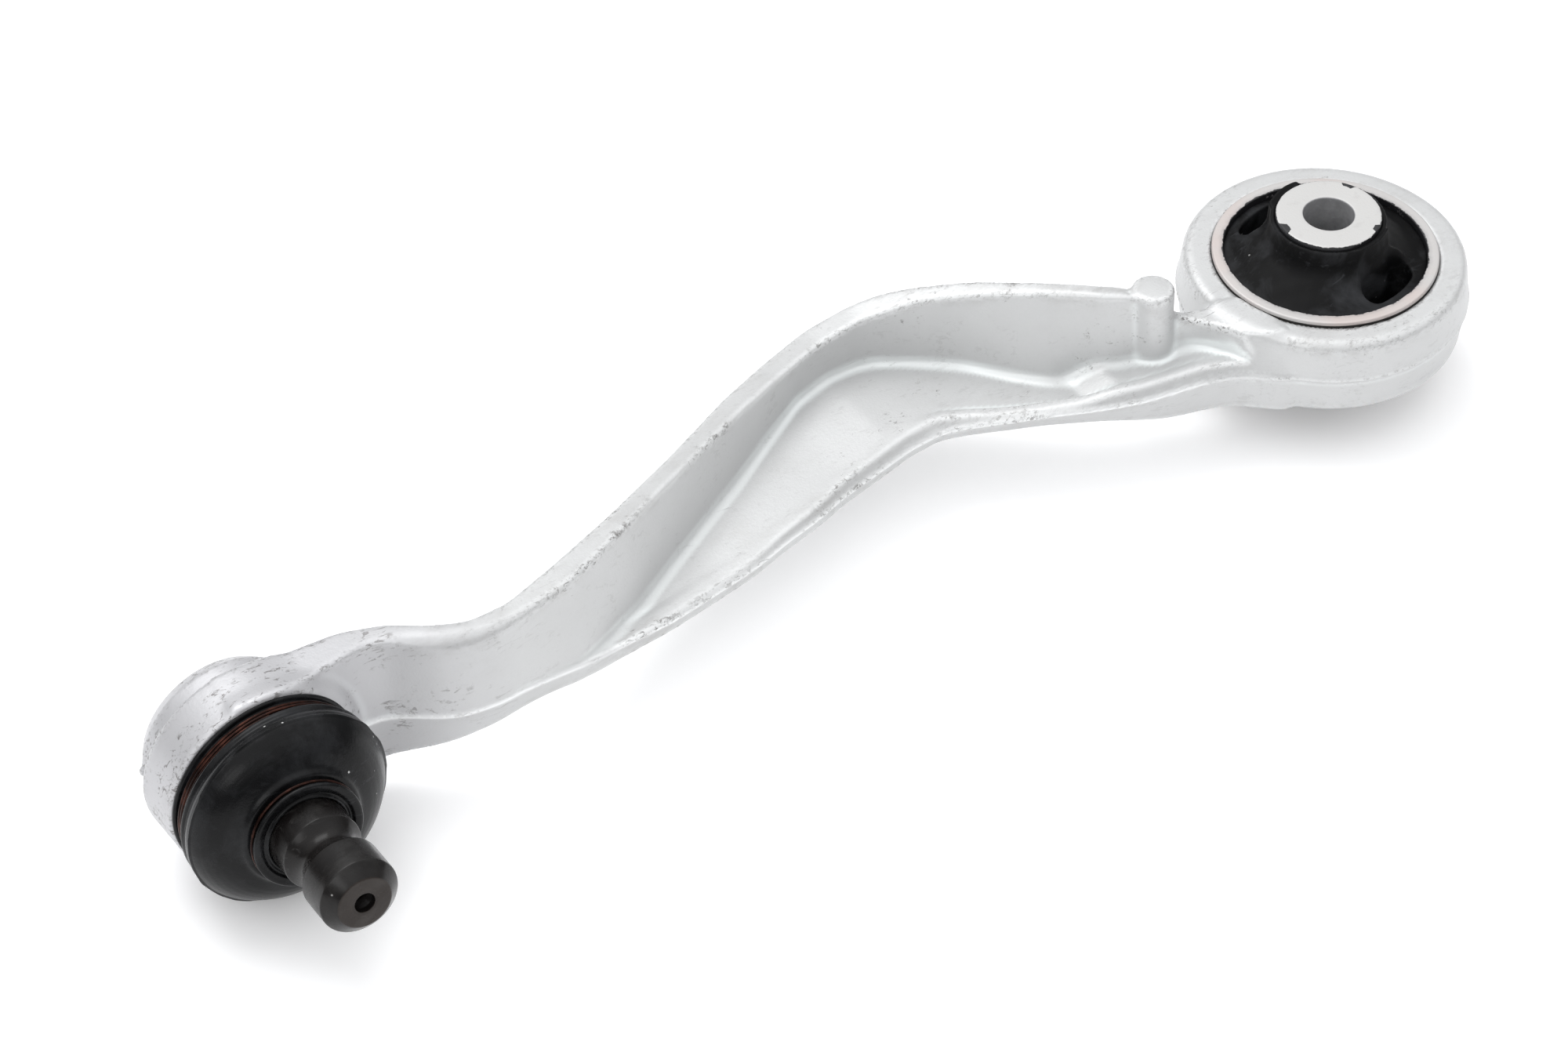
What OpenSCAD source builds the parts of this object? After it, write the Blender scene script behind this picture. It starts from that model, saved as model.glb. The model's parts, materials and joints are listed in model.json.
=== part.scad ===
// Curved forged suspension link: rubber bush in an eye at one end, sealed ball
// joint at the other. Millimetres. Origin on the bush bore, at mid thickness.

/* [Overall] */
// distance from the bush axis to the ball centre
link_length = 254.6; // [200:0.1:320]
// how far the rib bows away from the straight line, at its middle
bow_depth = 37.5; // [20:0.5:45]
// height of the rib top at mid-span
rib_mid_height = 10.5; // [8:0.5:16]

/* [Forging] */
// rib width, taken at half height
rib_width = 7; // [5:0.5:10]
// flange thickness
flange_thick = 5.3; // [4:0.1:8]
// height of the pocket floor
floor_level = -0.6; // [-2:0.1:2]
// outside radius of the eye on its parting line
eye_radius = 30; // [28.5:0.5:36]
// half thickness of the eye
eye_half = 9; // [7:0.5:12]
// radius of the small boss beside the eye
boss_radius = 4.35; // [3:0.05:6]
// height of the top of the boss
boss_top = 18; // [12:0.5:22]

/* [Bush] */
// bolt hole radius of the inner sleeve
bush_bore_radius = 5.2; // [4.2:0.1:6.2]
// outside radius of the inner sleeve
inner_sleeve_radius = 10.85; // [9:0.05:12]
// half length of the inner sleeve
inner_sleeve_half = 19.5; // [14:0.5:24]
// outside radius of the outer sleeve
outer_sleeve_radius = 23.3; // [20:0.1:26]
// wall of the outer sleeve
outer_sleeve_wall = 2.4; // [1:0.1:3]
// half length of the outer sleeve
outer_sleeve_half = 10.1; // [8:0.1:14]
// radial width of the two voids in the rubber
void_width = 5.2; // [3:0.1:6]
// angle each void spans
void_span = 44; // [30:1:80]

/* [Ball joint] */
// outside radius of the joint housing
housing_radius = 20.3; // [18:0.1:24]
// radius of the ball
ball_radius = 11; // [9:0.1:12.5]
// wall of the plastic shell round the ball
shell_wall = 4; // [2.5:0.1:5]
// radius of the clamped pin
pin_radius = 8; // [6:0.1:9]
// distance from the ball centre to the end of the full diameter
pin_reach = 46; // [40:0.5:60]
// rest angle of the stud above the level of the housing axis
rest_up = 6; // [0:0.5:12]
// rest angle of the stud away from the bush
rest_swing = 4; // [0:0.5:12]

/* [Boot] */
// widest radius of the boot
boot_radius = 21.1; // [20:0.1:24]
// thickness of the boot wall
boot_wall = 1.5; // [1:0.1:2.5]

/* [Hidden] */
$fn = 96;
press = 0;                 // surfaces that touch in a press fit
run = 0.05;                // radial running fit of ball and shell
bond = 0.02;               // rubber drawn just clear of the metal it is bonded to
ball_at = [link_length, 0, 0];
span_k = link_length / 254.6;
bow_k = bow_depth / 37.5;
floor_under = floor_level - flange_thick + 0.6;
rubber_r0 = inner_sleeve_radius + bond;
rubber_r1 = outer_sleeve_radius - outer_sleeve_wall - bond;
void_mid = (inner_sleeve_radius + 1.4 + rubber_r1 - 1.2) / 2;
// housing lengths along its own axis, ball centre at 0
shell_back = 0.6 - ball_radius;
ball_flat = 1.2 - ball_radius;
plate_gap = 0.25;          // grease space between ball and closing plate
plate_thick = 1.4;
hs_back = shell_back - 2.7; // rolled edge behind the closing plate
hs_step = -5;
hs_front = 5.6;
hs_nose = 10;
hs_nose_r = housing_radius - 2.9;
shell_r = ball_radius + shell_wall;
shell_front = 6.4;

neck_r = 6.5;
// stud lengths along its own axis, ball centre at 0
groove_out = pin_reach - 7.4;
groove_in = pin_reach - 14.8;
groove_sag = 1.9;
groove_arc_r = (3.7 * 3.7 + groove_sag * groove_sag) / (2 * groove_sag);
chamfer_len = 2.4;
end_r = pin_radius - 2.6;
lip_at = pin_reach - 20.4;
neck_r1 = pin_radius + 3.2;
neck_groove_r = neck_r1 - 0.7;
boot_wide_at = 13.3;      // from the ball centre, along the axis
// rib stations: x, y of the back edge, z of the top, width
function st(x, y, z, w = 0) = [x * span_k, y * bow_k, z, w];
rw = rib_width;
rib = [st(22, 3, 8, rw), st(32, -0.5, 9, rw), st(43, -3.5, 16, rw), st(52.5, -9, 18.4, rw),
    st(61.5, -16.5, 18.2, rw), st(71, -25.3, 16.6, rw), st(81, -32.6, 14.4, rw), st(93, -37.5, rib_mid_height + 1, rw),
    st(104, -36.7, rib_mid_height, rw), st(116, -32.6, rib_mid_height + 0.5, rw),
    st(130, -26.6, 12.2, rw), st(150, -16.2, 14, rw), st(170, -6.6, 16, rw), st(187, 0, 16.6, rw + 0.5),
    st(200, 4.6, 16.8, rw), st(209, 5, 17.2, rw), st(216, 2.6, 17.8, rw), st(223, -1.8, 18.2, rw + 0.5),
    st(232, -4.4, 18.6, rw + 2), st(246, -5, 18.8, rw + 3)];
// front edge of the flange
rim = [st(24, 17, 0), st(30, 12.5, 0), st(38, 9.5, 0), st(46, 8, 0), st(56, 5, 0),
    st(66, 1.5, 0), st(76, -3, 0), st(84, -6.5, 0), st(92, -8.2, 0), st(100, -7.6, 0),
    st(110, -5, 0), st(125, -0.8, 0), st(143, 4, 0), st(165, 8.4, 0), st(188, 11.4, 0),
    st(203, 12.4, 0), st(212, 11.4, 0), st(219, 8.6, 0), st(226, 5.6, 0), st(234, 4.8, 0)];
// underside stations: x, z
under = [[20, -eye_half], [46, -eye_half], [60, -7.4], [74, floor_under], [200, floor_under],
    [214, -6.6], [224, -9.5], [236, -15], [254, -17]];

function cr(a, b, c, d, t) = 0.5 * (2 * b + (c - a) * t + (2 * a - 5 * b + 4 * c - d) * t * t
    + (3 * b - a - 3 * c + d) * t * t * t);
function spline(p, k) = [for (i = [0:len(p) - 2]) for (j = [0:k - 1])
    cr(p[max(i - 1, 0)], p[i], p[i + 1], p[min(i + 2, len(p) - 1)], j / k), p[len(p) - 1]];
function unit(v) = v / norm(v);
function side(p, i) = let (v = unit([p[min(i + 1, len(p) - 1)][0] - p[max(i - 1, 0)][0],
    p[min(i + 1, len(p) - 1)][1] - p[max(i - 1, 0)][1]])) [-v[1], v[0]];
function flip(p) = [for (i = [len(p) - 1:-1:0]) p[i]];
function st2(x, y) = [x * span_k, y * bow_k];
function xy(p) = [for (q = p) [q[0], q[1]]];

rib_curve = spline(rib, 3);
rim_curve = spline(rim, 3);
rib_front = [for (i = [0:len(rib_curve) - 1])
    [rib_curve[i][0], rib_curve[i][1]] + rib_curve[i][3] * side(rib_curve, i)];

// ring or disc turned from a closed profile of [radius, height]
module turned(p) { rotate_extrude() polygon(p); }

// local Z along the housing axis
module at_housing() { translate(ball_at) rotate([-90, 0, 0]) children(); }

// local Z along the stud axis in its rest pose
module at_stud() { translate(ball_at) rotate([rest_up - 90, 0, -rest_swing]) children(); }

// everything between the underside and the rib top, seen from the side
module side_cut() {
    top = [for (q = flip(rib_curve)) [q[0], q[2]]];
    low = [for (q = under) [q[0] * span_k, q[1]]];
    translate([0, 60, 0]) rotate([90, 0, 0]) linear_extrude(140)
        polygon(concat(low, [[link_length, 18.8]], top, [[20, 8]]));
}

// tall rib along the back, widening into the ball housing
module rib_plan() {
    linear_extrude(60, center = true)
        polygon(concat(xy(rib_curve), [[link_length, -5], [link_length, 4.8]], flip(rib_front)));
}

// flat flange that fills the bow
module flange_plan(lo, hi) {
    translate([0, 0, lo]) linear_extrude(hi - lo)
        polygon(concat(xy(rib_curve), [[link_length - 14, 3]], flip(xy(rim_curve))));
}

// raised floor of the narrow channel beside the eye
module channel_floor() {
    translate([0, 0, -eye_half + 1]) linear_extrude(eye_half + 1.4)
        polygon([[22, -4], st2(42, -4), st2(58, -12), st2(58, 3), st2(46, 6.4), st2(38, 8), [28, 12.5]]);
}

module eye_solid() {
    r = eye_radius;
    turned([[0, -eye_half], [r - 2, -eye_half], [r - 0.7, 1 - eye_half], [r, 0],
        [r - 0.7, eye_half - 1], [r - 2, eye_half], [0, eye_half]]);
}

module housing_solid() {
    r = housing_radius;
    at_housing() turned([[0, hs_back], [r - 4.9, hs_back], [r - 3, hs_back + 3.2],
        [r - 3, hs_step - 2.4], [r - 0.6, hs_step], [r, hs_step + 2], [r, hs_front - 0.6],
        [r - 0.6, hs_front], [hs_nose_r, hs_front], [hs_nose_r, hs_nose], [0, hs_nose]]);
}

module arm_forging() {
    color([0.78, 0.79, 0.8]) difference() {
        union() {
            intersection() {
                rib_plan();
                side_cut();
            }
            intersection() { flange_plan(-20, floor_level); side_cut(); }
            intersection() { channel_floor(); side_cut(); }
            translate([42.6 * span_k, -2.2 * bow_k, 0 - eye_half + 2])
                cylinder(r = boss_radius, h = boss_top + eye_half - 2);
            eye_solid();
            housing_solid();
        }
        // seat of the bush
        cylinder(r = outer_sleeve_radius + press, h = 60, center = true);
        // seat of the ball shell, its front stop and the rolled back edge
        at_housing() turned([[0, hs_back - 1], [shell_r - 0.9, hs_back - 1],
            [shell_r - 0.9, hs_back + 0.4], [shell_r, hs_back + 0.4], [shell_r, shell_front + 0.05],
            [12.6, shell_front + 0.05], [12.9, hs_nose + 1], [0, hs_nose + 1]]);
    }
}

module bush_outer_sleeve() {
    color([0.83, 0.82, 0.81]) difference() {
        cylinder(r = outer_sleeve_radius, h = 2 * outer_sleeve_half, center = true);
        cylinder(r = outer_sleeve_radius - outer_sleeve_wall, h = 60, center = true);
    }
}

module bush_rubber() {
    h0 = inner_sleeve_half - 0.8;
    h1 = outer_sleeve_half - 1.3;
    c = inner_sleeve_radius + 1;
    color([0.09, 0.09, 0.1]) difference() {
        turned([[rubber_r0, -h0], [c, -h0], [c + 1.2, -h1 - 4.5], [c + 4.6, -h1 - 0.8], [rubber_r1, -h1],
            [rubber_r1, h1], [c + 4.6, h1 + 0.8], [c + 1.2, h1 + 4.5], [c, h0], [rubber_r0, h0]]);
        for (a = [106, 286]) rotate([0, 0, a]) void_cut();
    }
}

// curved slot with round ends, centred on local X
module void_cut() {
    half = void_span / 2;
    w = void_width / 2;
    end = function (s) [for (i = [0:8]) let (t = s * half + s * i * 180 / 8)
        [void_mid * cos(s * half) + w * cos(t), void_mid * sin(s * half) + w * sin(t)]];
    arc = function (r, s) [for (i = [1:11]) let (t = s * (half - i * void_span / 12)) [r * cos(t), r * sin(t)]];
    linear_extrude(60, center = true)
        polygon(concat(end(1), arc(void_mid - w, 1), flip(end(-1)), arc(void_mid + w, -1)));
}

module bush_inner_sleeve() {
    r = inner_sleeve_radius;
    h = inner_sleeve_half;
    b = bush_bore_radius;
    color([0.72, 0.73, 0.74]) turned([[b, -h + 0.6], [b + 0.6, -h], [r - 0.5, -h], [r, 0.5 - h],
        [r, h - 0.5], [r - 0.5, h], [b + 0.6, h], [b, h - 0.6]]);
}

module ball_shell() {
    color([0.9, 0.88, 0.8]) at_housing() difference() {
        translate([0, 0, shell_back]) cylinder(r = shell_r - bond, h = shell_front - shell_back);
        sphere(r = ball_radius + run);
        // mouth that lets the neck tilt
        turned([[0, 4], [ball_radius - 0.8, 4], [ball_radius - 0.1, shell_front + 1], [0, shell_front + 1]]);
    }
}

module closing_plate() {
    top = -ball_radius - plate_gap;
    color([0.5, 0.5, 0.52]) at_housing() difference() {
        translate([0, 0, top - plate_thick]) cylinder(r = shell_r - bond, h = shell_back - 0.05 - top + plate_thick);
        // dish that clears the ball, and the pressed hollow outside
        translate([0, 0, top]) cylinder(r = shell_r - 4, h = 5);
        translate([0, 0, top - plate_thick - 1]) cylinder(r = shell_r - 5, h = 1.6);
    }
}

module ball_stud() {
    p = pin_radius;
    a = acos((groove_arc_r - groove_sag) / groove_arc_r);
    gm = (groove_in + groove_out) / 2;
    color([0.13, 0.12, 0.12]) at_stud() difference() {
        union() {
            intersection() {
                sphere(r = ball_radius);
                translate([0, 0, ball_flat]) cylinder(r = 20, h = 40);
            }
            turned(concat([[0, 0], [neck_r, 0], [neck_r, 14.5], [p, 18.5], [p, groove_in]],
                [for (i = [1:11]) let (t = -a + 2 * a * i / 12)
                    [p + (groove_arc_r - groove_sag) - groove_arc_r * cos(t), gm + groove_arc_r * sin(t)]],
                [[p, groove_out], [p, pin_reach], [end_r, pin_reach + chamfer_len], [0, pin_reach + chamfer_len]]));
        }
        // centre drilling
        translate([0, 0, pin_reach + chamfer_len]) turned([[0, -5.6], [1.1, -4.6], [1.1, -3],
            [2.1, -1.4], [2.1, 1], [0, 1]]);
    }
}

module boot() {
    w = boot_wall;
    r = boot_radius;
    b = hs_nose_r + bond;
    dome = norm([r, boot_wide_at]);
    at = boot_wide_at - 0.4;
    color([0.06, 0.06, 0.07]) union() {
        // dome about the ball centre, between the widest line and the neck
        difference() {
            translate(ball_at) difference() { sphere(r = dome); sphere(r = dome - w); }
            at_housing() translate([0, 0, at - 60]) cylinder(r = 40, h = 60);
            at_stud() cylinder(r = pin_radius + 1.4, h = 60);
        }
        // foot clamped on the housing nose
        at_housing() turned([[b, hs_front + 0.1], [housing_radius - 0.4, hs_front + 0.1],
            [housing_radius - 0.4, hs_front + 0.9], [b + w, hs_front + 0.9], [b + w, hs_nose - 0.4],
            [housing_radius - 0.1, hs_nose - 0.2], [r - 0.1, at], [r - 0.5, at + 0.5],
            [r - 1, at + 0.5], [r - w - 0.6, at - 1], [b, hs_nose + 0.2]]);
        // neck with its ring groove and sealing lip
        at_stud() turned([[pin_radius + bond, lip_at - 4.6], [neck_r1 - 0.2, lip_at - 4.6],
            [neck_r1 - 0.2, lip_at - 2.85], [neck_groove_r, lip_at - 2.8], [neck_groove_r, lip_at - 0.9],
            [neck_r1, lip_at - 0.8], [neck_r1, lip_at], [pin_radius + 0.9, lip_at],
            [pin_radius + 0.9, lip_at - 0.5], [pin_radius + bond, lip_at - 0.5]]);
    }
}

// closed wire coil drawn as a short grooved band
module coil(r0, wire, turns, z) {
    translate([0, 0, z]) turned(concat([[r0 + bond, 0]],
        [for (i = [0:turns - 1]) each [[r0 + wire * 0.6, i * wire], [r0 + wire, (i + 0.5) * wire]]],
        [[r0 + wire * 0.6, turns * wire], [r0 + bond, turns * wire]]));
}

module boot_base_ring() {
    color([0.25, 0.13, 0.09]) at_housing() coil(hs_nose_r + bond + boot_wall, 0.95, 3, hs_front + 1.05);
}

module boot_neck_ring() {
    color([0.5, 0.25, 0.15]) at_stud() coil(neck_groove_r, 0.9, 2, lip_at - 2.75);
}

arm_forging();
bush_outer_sleeve();
bush_rubber();
bush_inner_sleeve();
ball_shell();
closing_plate();
ball_stud();
boot();
boot_base_ring();
boot_neck_ring();
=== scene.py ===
"""Builds a forged suspension link: bush, forged arm, ball joint, sealing boot, floor and light."""

import json
import math

import bpy
import numpy as np
from mathutils import Matrix, Vector


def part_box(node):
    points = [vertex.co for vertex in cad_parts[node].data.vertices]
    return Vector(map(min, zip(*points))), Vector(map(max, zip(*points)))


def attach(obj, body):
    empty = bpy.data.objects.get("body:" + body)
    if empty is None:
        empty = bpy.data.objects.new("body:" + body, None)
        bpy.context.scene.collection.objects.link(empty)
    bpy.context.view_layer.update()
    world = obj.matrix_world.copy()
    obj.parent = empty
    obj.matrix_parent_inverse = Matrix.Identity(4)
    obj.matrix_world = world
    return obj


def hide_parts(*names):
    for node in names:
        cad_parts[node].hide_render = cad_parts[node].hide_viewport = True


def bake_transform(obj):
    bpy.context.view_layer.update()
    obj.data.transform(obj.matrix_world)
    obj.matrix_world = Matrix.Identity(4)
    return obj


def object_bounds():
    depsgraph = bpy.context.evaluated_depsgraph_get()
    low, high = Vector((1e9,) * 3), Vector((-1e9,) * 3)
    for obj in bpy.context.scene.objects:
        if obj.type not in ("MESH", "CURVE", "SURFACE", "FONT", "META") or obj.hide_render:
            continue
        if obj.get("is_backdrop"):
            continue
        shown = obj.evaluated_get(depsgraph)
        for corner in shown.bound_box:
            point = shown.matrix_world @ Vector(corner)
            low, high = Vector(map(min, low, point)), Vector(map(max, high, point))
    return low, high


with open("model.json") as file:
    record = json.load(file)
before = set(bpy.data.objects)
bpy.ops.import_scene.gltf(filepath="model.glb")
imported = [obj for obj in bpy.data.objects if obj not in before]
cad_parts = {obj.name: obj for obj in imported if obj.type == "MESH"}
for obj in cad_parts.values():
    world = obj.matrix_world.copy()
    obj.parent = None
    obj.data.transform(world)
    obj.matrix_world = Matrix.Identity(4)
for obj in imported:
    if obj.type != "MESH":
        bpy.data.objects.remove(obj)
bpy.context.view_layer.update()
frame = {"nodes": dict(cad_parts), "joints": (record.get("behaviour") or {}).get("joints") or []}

bl_info = {
    "name": "Forged suspension link",
    "version": (1, 0, 0),
    "blender": (4, 5, 0),
    "location": "3D View > Sidebar > Link",
    "description": "Builds a forged suspension link with its bush, ball joint and boot",
    "category": "Add Mesh",
}

MM = 0.001
JOINTS = {j["name"]: j for j in frame["joints"]}
BALL = Vector(JOINTS["stud_spin"]["pos_m"])
STUD_AXIS = Vector(JOINTS["stud_spin"]["axis"]).normalized()
HOUSING_AXIS = Vector((0, 1, 0))


def half_length(node):
    """Half the height of a CAD piece that stands on the bush axis."""
    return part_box(node)[1].z


def outer_radius(node):
    """Outside radius of a CAD piece that stands on the bush axis."""
    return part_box(node)[1].x


# ---------------------------------------------------------------- settings


def size_setting(name, description, millimetres):
    """A size that the panel shows."""
    return bpy.props.FloatProperty(name=name, description=description, default=millimetres * MM,
                                   unit="LENGTH", precision=5)


def colour_setting(name, description, default):
    """A colour that the panel shows."""
    return bpy.props.FloatVectorProperty(name=name, description=description, subtype="COLOR", size=3,
                                         default=default, min=0, max=1)


class ForgingSettings(bpy.types.PropertyGroup):
    """Sizes and finish of the forged arm."""

    grid: bpy.props.FloatProperty(
        name="Surface step", description="Spacing of the mesh over the forging",
        default=0.66 * MM, min=0.4 * MM, max=3 * MM, unit="LENGTH", precision=5)
    eye_radius: size_setting("Eye radius", "Outside radius of the eye on its parting line", 30)
    edge_round: size_setting("Edge rounding", "Rounding of the forged edges", 1.0)
    root_round: size_setting("Root fillet", "Blend where the rib meets the pocket floor", 2.0)
    metal: colour_setting("Metal", "Colour of the blasted aluminium skin", (0.585, 0.59, 0.59))
    wear: bpy.props.FloatProperty(
        name="Wear", description="How much scuffing the proud edges carry",
        subtype="FACTOR", default=0.75, min=0, max=1)


class BushSettings(bpy.types.PropertyGroup):
    """Sizes and finish of the bush."""

    sleeve_wall: size_setting("Outer wall", "Wall of the outer sleeve", 2.4)
    bore: size_setting("Bolt hole", "Radius of the bolt hole", 5.2)
    void_width: size_setting("Void width", "Radial width of the two voids", 5.2)
    rubber: colour_setting("Rubber", "Colour of the bush rubber", (0.002, 0.002, 0.0023))
    sleeve: colour_setting("Sleeve", "Colour of the turned sleeves", (0.56, 0.545, 0.535))


class JointSettings(bpy.types.PropertyGroup):
    """Sizes and finish of the ball joint and its boot."""

    pin_radius: size_setting("Pin radius", "Radius of the clamped pin", 8)
    boot_wall: size_setting("Boot wall", "Thickness of the boot", 1.5)
    boot: colour_setting("Boot", "Colour of the boot rubber", (0.0035, 0.0036, 0.004))
    steel: colour_setting("Stud", "Colour of the blackened stud", (0.006, 0.0052, 0.005))
    wire: colour_setting("Wire", "Colour of the clamping wire", (0.16, 0.055, 0.036))


class StageSettings(bpy.types.PropertyGroup):
    """Floor, light and camera."""

    floor: colour_setting("Floor", "Colour of the floor", (0.93, 0.93, 0.935))
    sky: bpy.props.FloatProperty(
        name="Sky", description="Strength of the even light from above", default=1.0, min=0)
    softbox: bpy.props.FloatProperty(
        name="Softbox", description="Power of the overhead softbox", default=6.0, min=0, unit="POWER")
    lens: bpy.props.FloatProperty(
        name="Lens", description="Focal length of the camera", default=144, min=10, unit="CAMERA")


# ---------------------------------------------------------------- shape helpers


def soft_min(a, b, k):
    """Union of two distances with a rounded root of size k."""
    h = np.clip(0.5 + 0.5 * (b - a) / k, 0, 1)
    return b + (a - b) * h - k * h * (1 - h)


def soft_max(a, b, k):
    """Intersection of two distances with a rounded edge of size k."""
    return -soft_min(-a, -b, k)


def ramp(t):
    """Smooth step of t from 0 to 1."""
    t = np.clip(t, 0, 1)
    return t * t * (3 - 2 * t)


class Station:
    """Smooth curve through stations along the arm: value and slope."""

    def __init__(self, rows, soft=2.0):
        rows = np.array(rows, float)
        self.x = np.arange(rows[0, 0] - 15, rows[-1, 0] + 15, 0.5)
        value = np.interp(self.x, rows[:, 0], rows[:, 1])
        n = int(6 * soft)
        bell = np.exp(-0.5 * (np.arange(-n, n + 1) * 0.5 / soft) ** 2)
        self.v = np.convolve(np.pad(value, n, mode="edge"), bell / bell.sum(), "valid")
        self.s = np.gradient(self.v, 0.5)

    def __call__(self, x):
        return np.interp(x, self.x, self.v)

    def slope(self, x):
        return np.interp(x, self.x, self.s)


def skin(distance, low, high, step):
    """Closed quad mesh of the surface where distance(x, y, z) is nought, inside a box, points and faces."""
    axes = [np.arange(lo, hi + step, step) for lo, hi in zip(low, high)]
    field = distance(axes[0][:, None, None], axes[1][None, :, None], axes[2][None, None, :])
    cells = np.array(field.shape) - 1
    total, count = np.zeros((cells.prod(), 3)), np.zeros(cells.prod())
    links = []
    for axis in range(3):
        one, two = [slice(None)] * 3, [slice(None)] * 3
        one[axis], two[axis] = slice(0, -1), slice(1, None)
        a, b = field[tuple(one)], field[tuple(two)]
        where = (a < 0) != (b < 0)
        at = np.argwhere(where)
        a, b = a[where], b[where]
        point = at.astype(float)
        point[:, axis] += a / (a - b)
        u, v = (axis + 1) % 3, (axis + 2) % 3
        ring = []
        for du, dv in ((-1, -1), (0, -1), (0, 0), (-1, 0)):
            cell = at.copy()
            cell[:, u] += du
            cell[:, v] += dv
            index = np.ravel_multi_index(cell.T, cells, mode="clip")
            ring.append(index)
            count += np.bincount(index, minlength=len(count))
            for k in range(3):
                total[:, k] += np.bincount(index, weights=point[:, k], minlength=len(count))
        ring = np.stack(ring, 1)
        ring[a > 0] = ring[a > 0][:, ::-1]
        links.append(ring)
    used = np.flatnonzero(count)
    number = np.full(len(count), -1)
    number[used] = np.arange(len(used))
    points = np.array(low) + step * total[used] / count[used][:, None]
    faces = number[np.concatenate(links)]
    for _ in range(4):
        d = distance(*points.T)
        g = gradient(distance, points)
        move = (d / np.maximum((g * g).sum(1), 0.2))[:, None] * g
        size = np.linalg.norm(move, axis=1, keepdims=True)
        points -= move * np.minimum(1, 0.5 * step / np.maximum(size, 1e-9))
    return points, faces


def gradient(distance, points, h=0.05):
    """Direction in which a distance grows, at points."""
    out = np.empty_like(points)
    for k in range(3):
        e = np.zeros(3)
        e[k] = h
        out[:, k] = (distance(*(points + e).T) - distance(*(points - e).T)) / (2 * h)
    return out


def bulge(distance, points, h):
    """How convex the surface is at points: positive on edges, negative in roots."""
    total = -6 * distance(*points.T)
    for k in range(3):
        e = np.zeros(3)
        e[k] = h
        total += distance(*(points + e).T) + distance(*(points - e).T)
    return total / h


def lathe_outline(corners, longest=1.0):
    """Outline of [radius, height, rounding] corners with round corners and short steps, in millimetres."""
    out = []
    n = len(corners)
    for i, row in enumerate(corners):
        p = np.array(row[:2], float)
        r = row[2] if len(row) > 2 else 0
        if r <= 0:
            out.append(p)
            continue
        a, b = np.array(corners[i - 1][:2], float), np.array(corners[(i + 1) % n][:2], float)
        ta, tb = (a - p) / np.linalg.norm(a - p), (b - p) / np.linalg.norm(b - p)
        for t in (0, 0.2, 0.4, 0.6, 0.8, 1):
            out.append((1 - t) ** 2 * (p + ta * r) + 2 * t * (1 - t) * p + t * t * (p + tb * r))
    full = []
    for i, p in enumerate(out):
        q = out[(i + 1) % len(out)]
        m = max(1, int(math.ceil(np.linalg.norm(q - p) / longest)))
        if p[0] < 1e-6 and q[0] < 1e-6:
            m = 1
        full += [p + (q - p) * k / m for k in range(m)]
    return np.array(full)


def turn(outline, spin=128):
    """Closed mesh of an outline turned about Z: points and faces. Points on the axis are merged."""
    rows, points = [], []
    for r, z in outline:
        if r < 1e-6:
            rows.append([len(points)] * spin)
            points.append((0, 0, z))
        else:
            rows.append(list(range(len(points), len(points) + spin)))
            points += [(r * math.cos(2 * math.pi * k / spin), r * math.sin(2 * math.pi * k / spin), z)
                       for k in range(spin)]
    faces = []
    for i, row in enumerate(rows):
        nxt = rows[(i + 1) % len(rows)]
        for k in range(spin):
            loop = [row[k], row[(k + 1) % spin], nxt[(k + 1) % spin], nxt[k]]
            loop = [v for j, v in enumerate(loop) if v not in loop[:j]]
            if len(loop) > 2:
                faces.append(loop)
    return np.array(points, float), faces


def ripple(p, size, seed):
    """Smooth uneven values near -1 to 1 over points, with bumps of a given size."""
    total = np.zeros(len(p))
    rng = np.random.default_rng(seed)
    for _ in range(7):
        k = rng.normal(size=3)
        k *= 2 * math.pi / size / np.linalg.norm(k) * rng.uniform(0.6, 1.5)
        total += np.sin(p @ k + rng.uniform(0, 6.3))
    return total / 3


def placed(axis):
    """Turns local Z onto an axis through the ball centre, keeping world Z up the local Y."""
    z = Vector(axis).normalized()
    x = Vector((0, 0, 1)).cross(z).normalized()
    m = Matrix((x, z.cross(x), z)).transposed().to_4x4()
    return Matrix.Translation(BALL) @ m


def make_piece(name, points, faces, material, where=None, values=None):
    """New mesh object from points in millimetres, placed in the part's frame."""
    old = bpy.data.objects.get(name)
    if old:
        bpy.data.objects.remove(old)
    points = np.asarray(points, float) * MM
    if where is not None:
        m = np.array(where, float)
        points = points @ m[:3, :3].T + m[:3, 3]
    mesh = bpy.data.meshes.new(name)
    mesh.from_pydata(points.tolist(), [], faces if isinstance(faces, list) else faces.tolist())
    mesh.polygons.foreach_set("use_smooth", [True] * len(mesh.polygons))
    for key, row in (values or {}).items():
        layer = mesh.attributes.new(key, "FLOAT", "POINT")
        layer.data.foreach_set("value", np.asarray(row, np.float32))
    mesh.update()
    if mesh.validate():
        raise RuntimeError(f"{name} has broken faces")
    mesh.materials.append(material)
    piece = bpy.data.objects.new(name, mesh)
    bpy.context.scene.collection.objects.link(piece)
    if mesh_volume(mesh) < 0:
        mesh.flip_normals()
    return piece


def mesh_volume(mesh):
    """Signed volume, negative where the faces point inwards."""
    mesh.calc_loop_triangles()
    tri = np.empty(len(mesh.loop_triangles) * 3, np.int32)
    mesh.loop_triangles.foreach_get("vertices", tri)
    co = np.empty(len(mesh.vertices) * 3)
    mesh.vertices.foreach_get("co", co)
    a, b, c = np.moveaxis(co.reshape(-1, 3)[tri.reshape(-1, 3)], 1, 0)
    return float((a * np.cross(b, c)).sum() / 6)


def fit(piece, body, nodes):
    """Parents a finished piece to its body and hides the CAD pieces it replaces."""
    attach(piece, body)
    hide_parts(*nodes)
    return piece


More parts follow.
